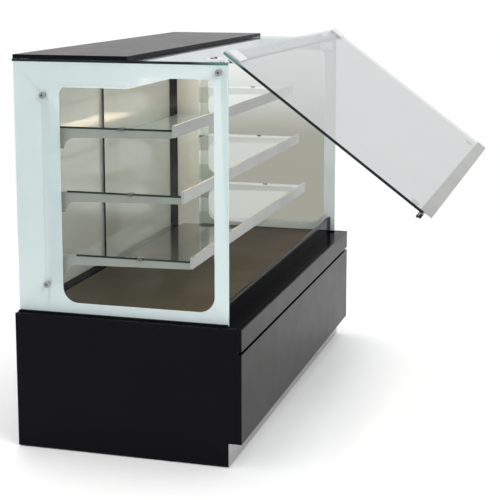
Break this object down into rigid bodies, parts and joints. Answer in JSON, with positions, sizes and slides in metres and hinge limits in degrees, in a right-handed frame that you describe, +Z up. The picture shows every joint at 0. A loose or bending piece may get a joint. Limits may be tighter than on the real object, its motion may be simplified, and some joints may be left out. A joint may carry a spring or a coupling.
{
  "type": "heated food display case",
  "caption": "Floor-standing heated display case with a glass house, stepped glass shelves, a lift-up front glass and sliding rear doors.",
  "frame": {"origin": "centre of the cabinet's footprint (end panel to end panel, front boards to rear edge), on the floor", "axes": "+X along the length, to the right when facing the customer side; -Y is the customer side; +Z is up"},
  "size_m": [1.5, 1.2672, 1.2214],
  "materials": {
    "black_laminate": "satin black laminate on board",
    "front_laminate": "satin charcoal laminate on board",
    "brushed_steel": "brushed stainless",
    "gloss_black": "high-gloss black lacquer on board",
    "frame_steel": "plain steel",
    "black_sheet": "black powder coat",
    "black_plastic": "moulded",
    "display_black": "smoked window",
    "pan_steel": "mill finish",
    "deck_steel": "brushed stainless",
    "black_anodised": "black anodised",
    "side_glass": "clear tempered",
    "border_print": "pale green-white ceramic print",
    "chrome": "polished",
    "grey_coat": "light grey powder coat",
    "roof_glass": "clear tempered",
    "top_black": "satin black board",
    "warm_diffuser": "opal diffuser",
    "shelf_glass": "clear tempered, polished edges",
    "bracket_coat": "mid grey powder coat",
    "satin_aluminium": "satin anodised",
    "clear_buffer": "clear soft plastic",
    "screw_steel": "plain",
    "door_glass": "tempered, lightly coated",
    "seal_rubber": "matte",
    "grey_glass": "grey reflective",
    "knob_black": "moulded",
    "rocker_red": "moulded",
    "rocker_white": "moulded"
  },
  "bodies": {
    "cabinet": {"end_panel_left": "black_laminate", "end_panel_right": "black_laminate", "front_upper_rail": "front_laminate", "front_lower_panel": "front_laminate", "toe_kick": "brushed_steel", "ledge_boards": "gloss_black", "base_frame": "frame_steel", "leveling_feet": "frame_steel", "rear_panel": "black_sheet", "control_plate": "brushed_steel", "switch_bodies": "black_plastic", "thermostat_body": "black_plastic", "temperature_display": "display_black", "cable_gland": "black_plastic", "heater_pan": "pan_steel", "heating_elements": "pan_steel", "element_supports": "frame_steel", "deck_plate": "deck_steel", "front_upstand": "gloss_black", "glass_channels": "black_anodised", "side_glass_left": "side_glass", "side_glass_right": "side_glass", "border_print_left": "border_print", "border_print_right": "border_print", "glass_fittings": "chrome", "upright_left": "grey_coat", "upright_right": "grey_coat", "roof_glass": "roof_glass", "top_board": "top_black", "canopy_housing": "grey_coat", "light_strips": "warm_diffuser", "shelf_glass_top": "shelf_glass", "shelf_glass_middle": "shelf_glass", "shelf_glass_lower": "shelf_glass", "shelf_brackets_top": "bracket_coat", "shelf_brackets_middle": "bracket_coat", "shelf_brackets_lower": "bracket_coat", "shelf_fascia_top": "satin_aluminium", "shelf_fascia_middle": "satin_aluminium", "shelf_fascia_lower": "satin_aluminium", "shelf_clips": "clear_buffer", "track_bottom": "black_anodised", "track_top": "black_anodised", "side_channels": "black_anodised", "hinge_clamps": "chrome", "hinge_pins": "chrome", "cabinet_screws": "screw_steel"},
    "front_door": {"door_glass": "door_glass", "door_handle": "satin_aluminium", "door_seal": "seal_rubber", "hinge_leaves": "chrome", "door_screws": "screw_steel", "door_buffers": "clear_buffer"},
    "left_sliding_door": {"sliding_glass_left": "grey_glass", "end_stile_left": "black_anodised"},
    "right_sliding_door": {"sliding_glass_right": "grey_glass", "end_stile_right": "black_anodised"},
    "thermostat": {"thermostat_knob": "knob_black"},
    "power_switch": {"power_rocker": "rocker_red"},
    "light_switch": {"light_rocker": "rocker_white"}
  },
  "joints": [
    {"name": "front_door_lift", "type": "hinge", "parent": "cabinet", "child": "front_door", "pos_m": [0, -0.292, 1.19], "axis": [-1, 0, 0], "range_deg": [-53.1, 6.9]},
    {"name": "left_door_slide", "type": "slide", "parent": "cabinet", "child": "left_sliding_door", "axis": [1, 0, 0], "range_m": [0, 0.6]},
    {"name": "right_door_slide", "type": "slide", "parent": "cabinet", "child": "right_sliding_door", "axis": [-1, 0, 0], "range_m": [0, 0.6]},
    {"name": "thermostat_turn", "type": "hinge", "parent": "cabinet", "child": "thermostat", "pos_m": [0.64, 0.36, 0.31], "axis": [0, -1, 0], "range_deg": [0, 270]},
    {"name": "power_rocker_tilt", "type": "hinge", "parent": "cabinet", "child": "power_switch", "pos_m": [0.425, 0.35, 0.31], "axis": [1, 0, 0], "range_deg": [0, 16]},
    {"name": "light_rocker_tilt", "type": "hinge", "parent": "cabinet", "child": "light_switch", "pos_m": [0.47, 0.35, 0.31], "axis": [1, 0, 0], "range_deg": [0, 16]}
  ]
}
